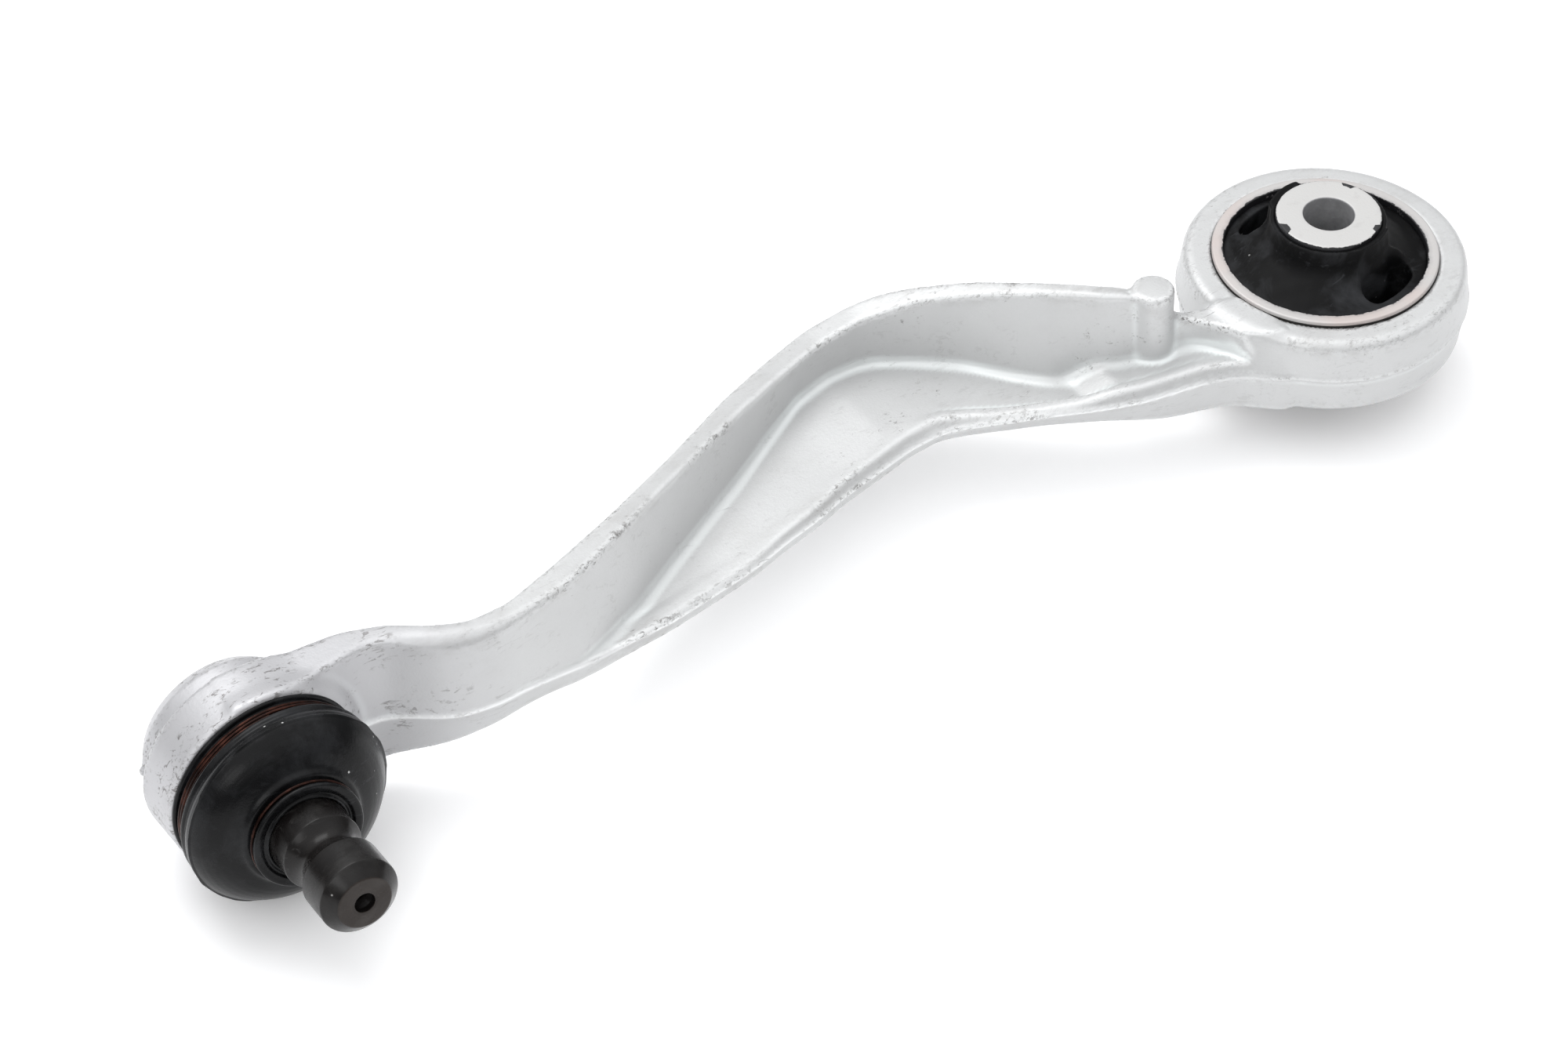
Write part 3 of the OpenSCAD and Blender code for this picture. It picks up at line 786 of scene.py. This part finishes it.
def forging_distance(settings):
    """Distance function of the whole forging, in millimetres."""
    edge, root = settings.edge_round / MM, settings.root_round / MM
    eye_r, eye_half = settings.eye_radius / MM, half_length("bush_outer_sleeve") / MM - 1.1
    seat_r = outer_radius("bush_outer_sleeve") / MM
    bx = BALL.x / MM

    def distance(x, y, z):
        back_y, top, pocket = RIB_BACK(x), RIB_TOP(x), POCKET(x)
        square = 1 / np.sqrt(1 + RIB_BACK.slope(x) ** 2)
        up, down = np.maximum(z, 0), np.maximum(-z, 0)
        back = (back_y - 0.07 * (top - up) + 0.10 * down - y) * square
        inner_top = RIB_INNER(x)
        inner_low = ROOT_LINE(x)
        depth = np.clip((top - z) / top, 0, 1.4)
        wall = inner_top + (inner_low - inner_top) * depth ** 1.15
        tilt = 1 / np.sqrt(1 + RIB_BACK.slope(x) ** 2 + ((inner_low - inner_top) / top) ** 2)
        rib = soft_max(back, z - top, edge)
        rib = soft_max(rib, (y - wall) * tilt, edge * EDGE_ROUND(x))
        # flange, its rim and the parting line
        level = PART_LEVEL(x)
        front_y = PARTING(x) - LEAN_UP(x) * np.maximum(z - level, 0) - LEAN_LOW(x) * np.maximum(level - z, 0)
        across = 1 / np.sqrt(1 + PARTING.slope(x) ** 2)
        front = (y - front_y) * across - 0.3 * np.exp(-((z - level) / 0.5) ** 2)
        inset = (PARTING(x) - y) * across
        floor = pocket + (RIM_TOP(x) - pocket) * ramp((5.2 - inset) / 2.2)
        flange = soft_max(soft_max(back, front, 0.6), z - floor, edge * 0.8)
        body = soft_min(rib, flange, root)
        body = soft_max(body, front, 0.4)
        body = soft_max(body, UNDER(x) - z, edge)
        body = soft_max(soft_max(body, 22 - x, 1), x - 258, 1)
        # eye
        r = np.sqrt(x * x + y * y)
        eye = soft_max(r - (eye_r - 0.11 * np.abs(z) - 0.35 * ramp(0.5 - z / 0.5)), np.abs(z) - eye_half, 2.2)
        line = 0.2 * np.exp(-((z - 0.2) / 0.4) ** 2)
        body = soft_min(body, eye - line, 2.2)
        # boss beside the eye
        br = np.sqrt((x - BOSS_X) ** 2 + (y - BOSS_Y) ** 2)
        boss = soft_max(br - BOSS_RADIUS + 0.012 * (z - 8), z - BOSS_TOP + 0.012 * br * br, 0.9)
        boss = np.maximum(boss, BOSS_FOOT - z)
        body = soft_min(body, boss, 1.1)
        # ball housing
        hr = np.sqrt((x - bx) ** 2 + z * z)
        toward_rib = ramp((bx - x - 10) / 6)
        main = soft_max(hr - HOUSING_RADIUS, np.abs(y - 0.3) - 5.3, 0.9 + 3.2 * toward_rib * ramp(y / 3))
        body = soft_min(body, main, 2.2 + 2.6 * ramp(y / 5))
        rear = soft_max(hr - COLLAR_RADIUS + 0.62 * np.maximum(-9.9 - y, 0), HOUSING_BACK - y, 0.7)
        rear = np.maximum(rear, y - 2)
        body = soft_min(body, rear, 1.3)
        nose = soft_max(hr - COLLAR_RADIUS, y - HOUSING_FRONT, 0.6)
        body = soft_min(body, np.maximum(nose, -2 - y), 0.4 + 3 * toward_rib)
        nib = np.sqrt((x - bx - 17.6) ** 2 + (y + 8.8) ** 2 + (z + 0.2) ** 2) - 0.95
        body = soft_min(body, nib, 0.7)
        # seats cut into the forging
        body = soft_max(body, seat_r - r, 0.5)
        seat = np.minimum(SEAT_RADIUS, ROLLED_RADIUS + (y - SEAT_BACK) * 1.1)
        cavity = np.maximum(np.maximum(hr - seat, SEAT_BACK - y), y - SEAT_FRONT)
        mouth = np.maximum(hr - (MOUTH_RADIUS + 0.08 * (y - 6.4)), 6 - y)
        rolled = np.maximum(hr - ROLLED_RADIUS, y + 12)
        hollow = np.minimum(np.minimum(cavity, mouth), rolled)
        return soft_max(body, -hollow, 0.3)

    return distance


def flash_line(points):
    """How close each point is to the thin ridge left along the parting line, where the material paints a
    highlight.
    """
    x, y, z = points.T
    height = np.exp(-((z - PART_LEVEL(x)) / 0.45) ** 2)
    front = (y - PARTING(x)) / np.sqrt(1 + PARTING.slope(x) ** 2)
    return height * ramp((1.2 - np.abs(front)) / 0.6) * ramp((x - 34) / 8) * ramp((238 - x) / 4)


# ---------------------------------------------------------------- operators


class LINK_OT_forging(bpy.types.Operator):
    """Build the forged arm with its eye, rib, pocket, boss and ball housing"""

    bl_idname = "link.forging"
    bl_label = "Forged arm"

    def execute(self, context):
        s = context.scene.link_forging
        distance = forging_distance(s)
        low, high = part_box("arm_forging")
        low = [v / MM - 2.2 for v in low]
        high = [v / MM + 2.2 for v in high]
        points, faces = skin(distance, low, high, s.grid / MM)
        points[:, 2] += 0.05 * ripple(points, 34, 5) * (np.abs(points[:, 2]) < 30)
        convex = bulge(distance, points, 1.1)
        # The edge, root and flash values also set where the forging's material paints highlights.
        values = {
            "proud_edge_wear_and_highlight": np.clip((convex - 0.22) / 0.6, 0, 1),
            "near_edge": np.clip((bulge(distance, points, 3.0) - 0.15) / 0.6, 0, 1),
            "root": np.clip((-convex - 0.18) / 0.5, 0, 1),
            "flash": flash_line(points),
        }
        material = forged_aluminium(list(s.metal), s.wear)
        piece = make_piece("forged_arm", points, faces, material, values=values)
        fit(piece, "arm", ["arm_forging"])
        return {"FINISHED"}


class LINK_OT_sleeves(bpy.types.Operator):
    """Build the outer and inner sleeves of the bush"""

    bl_idname = "link.sleeves"
    bl_label = "Bush sleeves"

    def execute(self, context):
        s = context.scene.link_bush
        r, h = outer_radius("bush_outer_sleeve") / MM - 0.02, half_length("bush_outer_sleeve") / MM
        wall = s.sleeve_wall / MM
        outline = lathe_outline([(r - wall, -h, 0.25), (r, -h, 0.45), (r, h, 0.45), (r - wall, h, 0.25)], 0.8)
        points, faces = turn(outline, 192)
        piece = make_piece("bush_ring", points, faces, turned_sleeve(list(s.sleeve)))
        fit(piece, "arm", ["bush_outer_sleeve"])
        r, h, b = outer_radius("bush_inner_sleeve") / MM, half_length("bush_inner_sleeve") / MM, s.bore / MM
        outline = lathe_outline([(b, -h, 0.4), (r, -h, 0.45), (r, h, 0.45), (b, h, 0.4)], 0.7)
        points, faces = turn(outline, 160)
        piece = make_piece("bolt_sleeve_tube", points, faces, bolt_sleeve_finish([0.56, 0.555, 0.545]))
        fit(piece, "bolt_sleeve", ["bush_inner_sleeve"])
        return {"FINISHED"}


class LINK_OT_rubber(bpy.types.Operator):
    """Build the bonded rubber with its collars, dished faces and two voids"""

    bl_idname = "link.rubber"
    bl_label = "Bush rubber"

    def execute(self, context):
        s = context.scene.link_bush
        r0 = outer_radius("bush_inner_sleeve") / MM + 0.02
        r1 = outer_radius("bush_outer_sleeve") / MM - s.sleeve_wall / MM - 0.02
        half = half_length("bush_rubber") / MM
        wide = s.void_width / MM / 2

        def distance(x, y, z):
            r, az = np.sqrt(x * x + y * y), np.abs(z)
            dish = 7.9 + 0.16 * ((r - 17.0) / 2.2) ** 2 - 0.2 * np.cos(3 * np.arctan2(y, x))
            flare = 13.4 - 0.62 * (r - 12.2)
            disc = np.maximum(az - soft_max(np.minimum(dish, 9.3), flare, 1.6), r - r1)
            collar = soft_max(r - (11.85 + 0.05 * (half - az)), az - half + 0.1, 0.35)
            body = soft_min(disc, collar, 1.6)
            # two voids, one each side, and the raised lip round each
            side = np.where(y < 0, -1.0, 1.0)
            u, v = x * side, y * side
            turn_by = math.radians(106)
            cx, sx = math.cos(turn_by), math.sin(turn_by)
            p, q = u * cx + v * sx, -u * sx + v * cx
            angle = np.clip(np.arctan2(q, p), -0.28, 0.28)
            mid = 16.0
            away = np.sqrt((p - mid * np.cos(angle)) ** 2 + (q - mid * np.sin(angle)) ** 2)
            lip = 0.75 * np.exp(-((away - wide - 0.9) / 0.8) ** 2) * ramp((16.6 - r) / 2.0)
            body = body - lip * ramp((az - 6) / 2)
            body = soft_max(body, wide - 0.12 * (9 - az) * 0.5 - away, 0.8)
            return np.maximum(body, r0 - r)

        box = (r1 + 0.9, r1 + 0.9, half + 0.9)
        points, faces = skin(distance, [-b for b in box], box, 0.42)
        r = np.hypot(points[:, 0], points[:, 1])
        uneven = 0.06 * ripple(points, 5, 11) * ramp((r - 12) / 2) * ramp((r1 - r) / 1.0)
        points[:, 2] += uneven * np.sign(points[:, 2])
        material = moulded_rubber("bush_rubber_finish", list(s.rubber), 0.55, 0.55, (0.5, 0.68))
        piece = make_piece("bush_rubber_body", points, faces, material)
        bend_between(piece, ["bush_rubber"])
        return {"FINISHED"}


class LINK_OT_stud(bpy.types.Operator):
    """Build the ball stud and finish the shell and closing plate inside the housing"""

    bl_idname = "link.stud"
    bl_label = "Ball stud"

    def execute(self, context):
        s = context.scene.link_joint
        p = s.pin_radius / MM
        ball = [(11 * math.cos(a), 11 * math.sin(a), 0) for a in np.radians(np.arange(-62, 53, 6))]
        waist = [(p - 1.9 * math.sin(math.pi * k / 12) ** 0.85, 31.2 + 7.4 * k / 12, 0) for k in range(1, 12)]
        foot = [(0, -9.8, 0), (5.0, -9.8, 0.3)]
        shank = [(6.5, 9.6, 0.5), (6.5, 14.5, 1.2), (p, 18.5, 1.2), (p, 31.2, 0.25)]
        tip = [(p, 38.6, 0.25), (p, 46, 0.3), (5.4, 48.4, 0.25), (2.1, 48.4, 0.15), (2.1, 47.1, 0.1),
               (1.15, 45.6, 0.1), (1.1, 43.8, 0), (0, 42.8, 0)]
        corners = foot + ball + shank + waist + tip
        points, faces = turn(lathe_outline(corners, 0.8), 144)
        where = placed(STUD_AXIS)
        piece = make_piece("ball_stud_turned", points, faces, blackened_steel(list(s.steel), where), where)
        fit(piece, "stud", ["ball_stud"])
        shell = frame["nodes"]["ball_shell"]
        plate = frame["nodes"]["closing_plate"]
        plastic = plain_moulding("shell_plastic_finish", [0.78, 0.75, 0.66], 0.4, 0.0, 0.0008)
        sheet = plain_moulding("plate_steel_finish", [0.36, 0.36, 0.37], 0.42, 0.85, 0.0005)
        for node, material in ((shell, plastic), (plate, sheet)):
            node.data.materials.clear()
            node.data.materials.append(material)
        return {"FINISHED"}


def boot_outline(wall):
    """Outer and inner lines of the boot, [radius, height] from the ball centre, foot first."""
    outer = [(17.6, 5.75), (19.7, 5.72), (20.0, 5.95), (20.0, 6.35), (19.7, 6.6), (19.0, 6.7), (18.86, 7.6),
             (18.86, 9.1), (19.1, 9.5), (20.0, 9.75), (20.6, 10.1), (20.85, 10.6), (20.7, 11.1),
             (20.5, 11.4), (20.75, 12.2), (21.02, 12.9), (21.12, 13.6), (21.08, 14.2), (21.0, 14.7),
             (21.18, 14.85), (21.2, 15.0)]
    upper = [(21.2, 15.0), (21.16, 15.15), (20.8, 15.3), (20.45, 16.0), (19.9, 16.9), (19.0, 18.1),
             (17.9, 19.2), (16.6, 20.2), (15.2, 21.0), (13.8, 21.6), (12.8, 22.0), (12.3, 22.35),
             (12.1, 22.7), (11.6, 22.95), (10.6, 23.0), (10.5, 23.2), (10.5, 24.4), (10.65, 24.62),
             (11.1, 24.68), (11.3, 24.85), (11.3, 25.35), (11.1, 25.6), (10.6, 25.66), (9.75, 25.6),
             (9.45, 25.4), (9.3, 24.95), (8.9, 24.9), (8.6, 25.25), (8.35, 25.45), (8.08, 25.3),
             (8.05, 24.6), (8.05, 21.6), (8.5, 21.1)]
    inner_low = [(21.1 - wall, 15.0), (19.55, 13.6), (19.2, 12.2), (18.9, 11.0), (18.2, 10.2), (17.46, 9.9),
                 (17.46, 7.0)]
    inner_up = [(9.6, 21.1), (11.4, 20.9), (13.2, 20.2), (15.0, 19.3), (16.6, 18.1), (17.9, 16.8),
                (18.8, 15.9)]
    return outer, upper, inner_low, inner_up


class LINK_OT_boot(bpy.types.Operator):
    """Build the sealing boot in two halves that meet on its mould line"""

    bl_idname = "link.boot"
    bl_label = "Sealing boot"

    def execute(self, context):
        s = context.scene.link_joint
        outer, upper, inner_low, inner_up = boot_outline(s.boot_wall / MM)
        material = moulded_rubber("boot_rubber_finish", list(s.boot), 0.3, 0.75, (0.2, 0.3), 0.00035)
        axis = HOUSING_AXIS.cross(STUD_AXIS)
        tilt = HOUSING_AXIS.angle(STUD_AXIS)
        where = placed(HOUSING_AXIS)
        local = (where.to_3x3().inverted() @ axis).normalized()
        seam = inner_low[0]
        halves = (
            ("boot_foot_half", outer + [seam] + inner_low[1:], "arm", "boot_middle", 10.2, 4.4),
            ("boot_neck_half", upper + inner_up + [seam], "boot_middle", "boot_neck", 15.3, 6.2),
        )
        for name, corners, body_a, body_b, start, span in halves:
            outline = lathe_outline([(r, z, 0) for r, z in corners], 0.7)
            points, faces = turn(outline, 180)
            height = points[:, 2].copy()
            r = np.hypot(points[:, 0], points[:, 1])
            middle = ramp((height - 11) / 3) * ramp((22 - height) / 3)
            points[:, :2] *= (1 + 0.0035 * ripple(points, 26, 3) * middle)[:, None]
            angle = np.arctan2(points[:, 1], points[:, 0])
            flash = np.exp(-((height - 15.0) / 0.16) ** 2) * (r > 20.3)
            torn = np.sin(3 * angle + 1.2) + 0.6 * np.sin(11 * angle) + 0.4 * np.sin(23 * angle)
            points[:, :2] *= (1 + 0.009 * flash * np.clip(torn, -0.6, 1))[:, None]
            lean = tilt * ramp((height - 11) / 10)
            n = np.array(local)
            c, sn = np.cos(lean)[:, None], np.sin(lean)[:, None]
            points = points * c + np.cross(n, points) * sn + n * (points @ n)[:, None] * (1 - c)
            piece = make_piece(name, points, faces, material, where)
            bend_between(piece, ["boot"])
        return {"FINISHED"}


def coil_tree():
    """Geometry Nodes tree that winds a closed coil of wire."""
    name = "wire_coil"
    if name in bpy.data.node_groups:
        return bpy.data.node_groups[name]
    tree = bpy.data.node_groups.new(name, "GeometryNodeTree")
    face = tree.interface
    face.new_socket("Geometry", in_out="INPUT", socket_type="NodeSocketGeometry")
    for label, kind, value in (("Coil Radius", NUM, 0.019), ("Wire", NUM, 0.0008), ("Turns", NUM, 2.7),
                               ("Rise", NUM, 0.002), ("Place", VEC, (0, 0, 0)),
                               ("Turn By", "NodeSocketRotation", None),
                               ("Material", "NodeSocketMaterial", None)):
        socket = face.new_socket(label, in_out="INPUT", socket_type=kind)
        if value is not None:
            socket.default_value = value
    face.new_socket("Geometry", in_out="OUTPUT", socket_type="NodeSocketGeometry")
    t = Tree(tree)
    i, o = tree.nodes.new("NodeGroupInput"), tree.nodes.new("NodeGroupOutput")
    winding = t.add("GeometryNodeCurveSpiral", {"Resolution": 120, "Rotations": i.outputs["Turns"],
                                                "Start Radius": i.outputs["Coil Radius"],
                                                "End Radius": i.outputs["Coil Radius"],
                                                "Height": i.outputs["Rise"]})
    half = t.math("MULTIPLY", i.outputs["Wire"], 0.5)
    section = t.add("GeometryNodeCurvePrimitiveCircle", {"Resolution": 12, "Radius": half})
    tube = t.add("GeometryNodeCurveToMesh", {"Curve": winding.outputs[0], "Profile Curve": section.outputs[0],
                                             "Fill Caps": True})
    smooth = t.add("GeometryNodeSetShadeSmooth", {"Geometry": tube.outputs[0]})
    put = t.add("GeometryNodeTransform", {"Geometry": smooth.outputs[0], "Translation": i.outputs["Place"],
                                          "Rotation": i.outputs["Turn By"]})
    real = t.add("GeometryNodeRealizeInstances", {"Geometry": put.outputs[0]})
    coat = t.add("GeometryNodeSetMaterial", {"Geometry": real.outputs[0], "Material": i.outputs["Material"]})
    t.put(coat.outputs[0], o.inputs[0])
    return tree


def wind_coil(name, material, where, radius, wire, turns, rise, start):
    """Winds a coil and returns it as a plain mesh in the part's frame."""
    tree = coil_tree()
    holder = bpy.data.objects.new(name + "_holder", bpy.data.meshes.new(name + "_holder"))
    bpy.context.scene.collection.objects.link(holder)
    modifier = holder.modifiers.new("winding", "NODES")
    modifier.node_group = tree
    put = where @ Matrix.Translation((0, 0, start * MM))
    sizes = {"Coil Radius": radius * MM, "Wire": wire * MM, "Turns": turns, "Rise": rise * MM,
             "Place": put.translation, "Turn By": put.to_euler(), "Material": material}
    for socket in tree.interface.items_tree:
        if socket.item_type == "SOCKET" and socket.in_out == "INPUT" and socket.name in sizes:
            modifier[socket.identifier] = sizes[socket.name]
    bpy.context.view_layer.update()
    evaluated = holder.evaluated_get(bpy.context.evaluated_depsgraph_get())
    mesh = bpy.data.meshes.new_from_object(evaluated)
    if len(mesh.polygons) < 100:
        raise RuntimeError(f"{name} wasn't wound")
    mesh.name = name
    if mesh_volume(mesh) < 0:
        mesh.flip_normals()
    bpy.data.objects.remove(holder)
    piece = bpy.data.objects.new(name, mesh)
    bpy.context.scene.collection.objects.link(piece)
    return piece


class LINK_OT_rings(bpy.types.Operator):
    """Wind the wire rings that clamp the boot at its foot and neck"""

    bl_idname = "link.rings"
    bl_label = "Clamping rings"

    def execute(self, context):
        s = context.scene.link_joint
        material = copper_wire(list(s.wire))
        foot = wind_coil("boot_foot_wire", material, placed(HOUSING_AXIS), 19.28, 0.76, 2.75, 2.1, 7.08)
        fit(foot, "arm", ["boot_base_ring"])
        neck = wind_coil("boot_neck_wire", material, placed(STUD_AXIS), 10.92, 0.8, 1.2, 0.85, 23.38)
        fit(neck, "boot_neck", ["boot_neck_ring"])
        return {"FINISHED"}


FLOOR_HALF = 3.0
CAMERA_AT = Vector((0.65315, 0.75039, 0.82538))
CAMERA_LOOK = Vector((-0.42264, -0.60997, -0.67030))
CAMERA_ROLL = math.radians(1.056)


class LINK_OT_stage(bpy.types.Operator):
    """Lay the floor, set the light and aim the camera"""

    bl_idname = "link.stage"
    bl_label = "Stage"

    def execute(self, context):
        s = context.scene.link_stage
        scene = context.scene
        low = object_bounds()[0].z
        size = FLOOR_HALF
        mesh = bpy.data.meshes.new("floor")
        mesh.from_pydata([(-size, -size, low), (size, -size, low), (size, size, low), (-size, size, low)], [],
                         [(0, 1, 2, 3)])
        material, t, shader, p = surface("floor_paper")
        tone = t.noise(p, 30.0, 3.0)
        t.put(t.mix(tone, [c * 0.995 for c in s.floor], list(s.floor)), shader.inputs["Base Color"])
        shader.inputs["Roughness"].default_value = 0.7
        shader.inputs["Specular IOR Level"].default_value = 0.2
        shader.inputs["Emission Color"].default_value = (1, 1, 1, 1)
        shader.inputs["Emission Strength"].default_value = 0.2
        mesh.materials.append(material)
        floor = bpy.data.objects.new("floor", mesh)
        scene.collection.objects.link(floor)
        floor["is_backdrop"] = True
        world = bpy.data.worlds.new("even_sky")
        world.use_nodes = True
        scene.world = world
        t = Tree(world.node_tree)
        up = t.add("ShaderNodeSeparateXYZ", {0: t.add("ShaderNodeTexCoord").outputs["Generated"]}).outputs[2]
        glow = t.span(up, 0.05, 0.9, 0.16, 1.35, smooth=True)
        back = world.node_tree.nodes["Background"]
        t.put(t.math("MULTIPLY", glow, s.sky), back.inputs["Strength"])
        back.inputs["Color"].default_value = (0.985, 0.99, 1, 1)
        for name, at, aim, width, power in (
                ("softbox_over", (0.25, -0.55, 1.15), (0.14, 0, 0), 0.9, s.softbox),
                ("softbox_front", (1.15, 0.75, 0.8), (0.1, 0, 0), 0.7, s.softbox * 0.4)):
            light = bpy.data.lights.new(name, "AREA")
            light.shape, light.size, light.size_y = "RECTANGLE", width, width * 0.7
            light.energy = power
            lamp = bpy.data.objects.new(name, light)
            lamp.location = at
            lamp.rotation_euler = (Vector(aim) - Vector(at)).to_track_quat("-Z", "Y").to_euler()
            scene.collection.objects.link(lamp)
        camera = bpy.data.cameras.new("camera")
        camera.sensor_width, camera.lens = 36, s.lens
        camera.clip_start, camera.clip_end = 0.05, 20
        eye = bpy.data.objects.new("camera", camera)
        turn_by = CAMERA_LOOK.to_track_quat("-Z", "Y").to_matrix().to_4x4()
        eye.matrix_world = Matrix.Translation(CAMERA_AT) @ turn_by @ Matrix.Rotation(CAMERA_ROLL, 4, "Z")
        scene.collection.objects.link(eye)
        scene.camera = eye
        scene.view_settings.view_transform = "Standard"
        return {"FINISHED"}


class LINK_PT_panel(bpy.types.Panel):
    """Lists the builders of the link."""

    bl_label = "Forged suspension link"
    bl_idname = "LINK_PT_panel"
    bl_space_type = "VIEW_3D"
    bl_region_type = "UI"
    bl_category = "Link"

    def draw(self, context):
        for group, operators in (("link_forging", ("forging",)), ("link_bush", ("sleeves", "rubber")),
                                 ("link_joint", ("stud", "boot", "rings")), ("link_stage", ("stage",))):
            box = self.layout.box()
            settings = getattr(context.scene, group)
            for name in settings.bl_rna.properties.keys():
                if name not in ("rna_type", "name"):
                    box.prop(settings, name)
            for name in operators:
                box.operator("link." + name)


SETTINGS = (("link_forging", ForgingSettings), ("link_bush", BushSettings), ("link_joint", JointSettings),
            ("link_stage", StageSettings))
OPERATORS = (LINK_OT_forging, LINK_OT_sleeves, LINK_OT_rubber, LINK_OT_stud, LINK_OT_boot, LINK_OT_rings,
             LINK_OT_stage)


def register():
    for name, group in SETTINGS:
        bpy.utils.register_class(group)
        setattr(bpy.types.Scene, name, bpy.props.PointerProperty(type=group))
    for cls in (*OPERATORS, LINK_PT_panel):
        bpy.utils.register_class(cls)


def unregister():
    for cls in reversed((*OPERATORS, LINK_PT_panel)):
        bpy.utils.unregister_class(cls)
    for name, group in reversed(SETTINGS):
        delattr(bpy.types.Scene, name)
        bpy.utils.unregister_class(group)


def main():
    """Builds every piece in order."""
    register()
    for build in (bpy.ops.link.forging, bpy.ops.link.sleeves, bpy.ops.link.rubber, bpy.ops.link.stud,
                  bpy.ops.link.boot, bpy.ops.link.rings, bpy.ops.link.stage):
        build()
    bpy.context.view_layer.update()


if __name__ == "__main__":
    main()
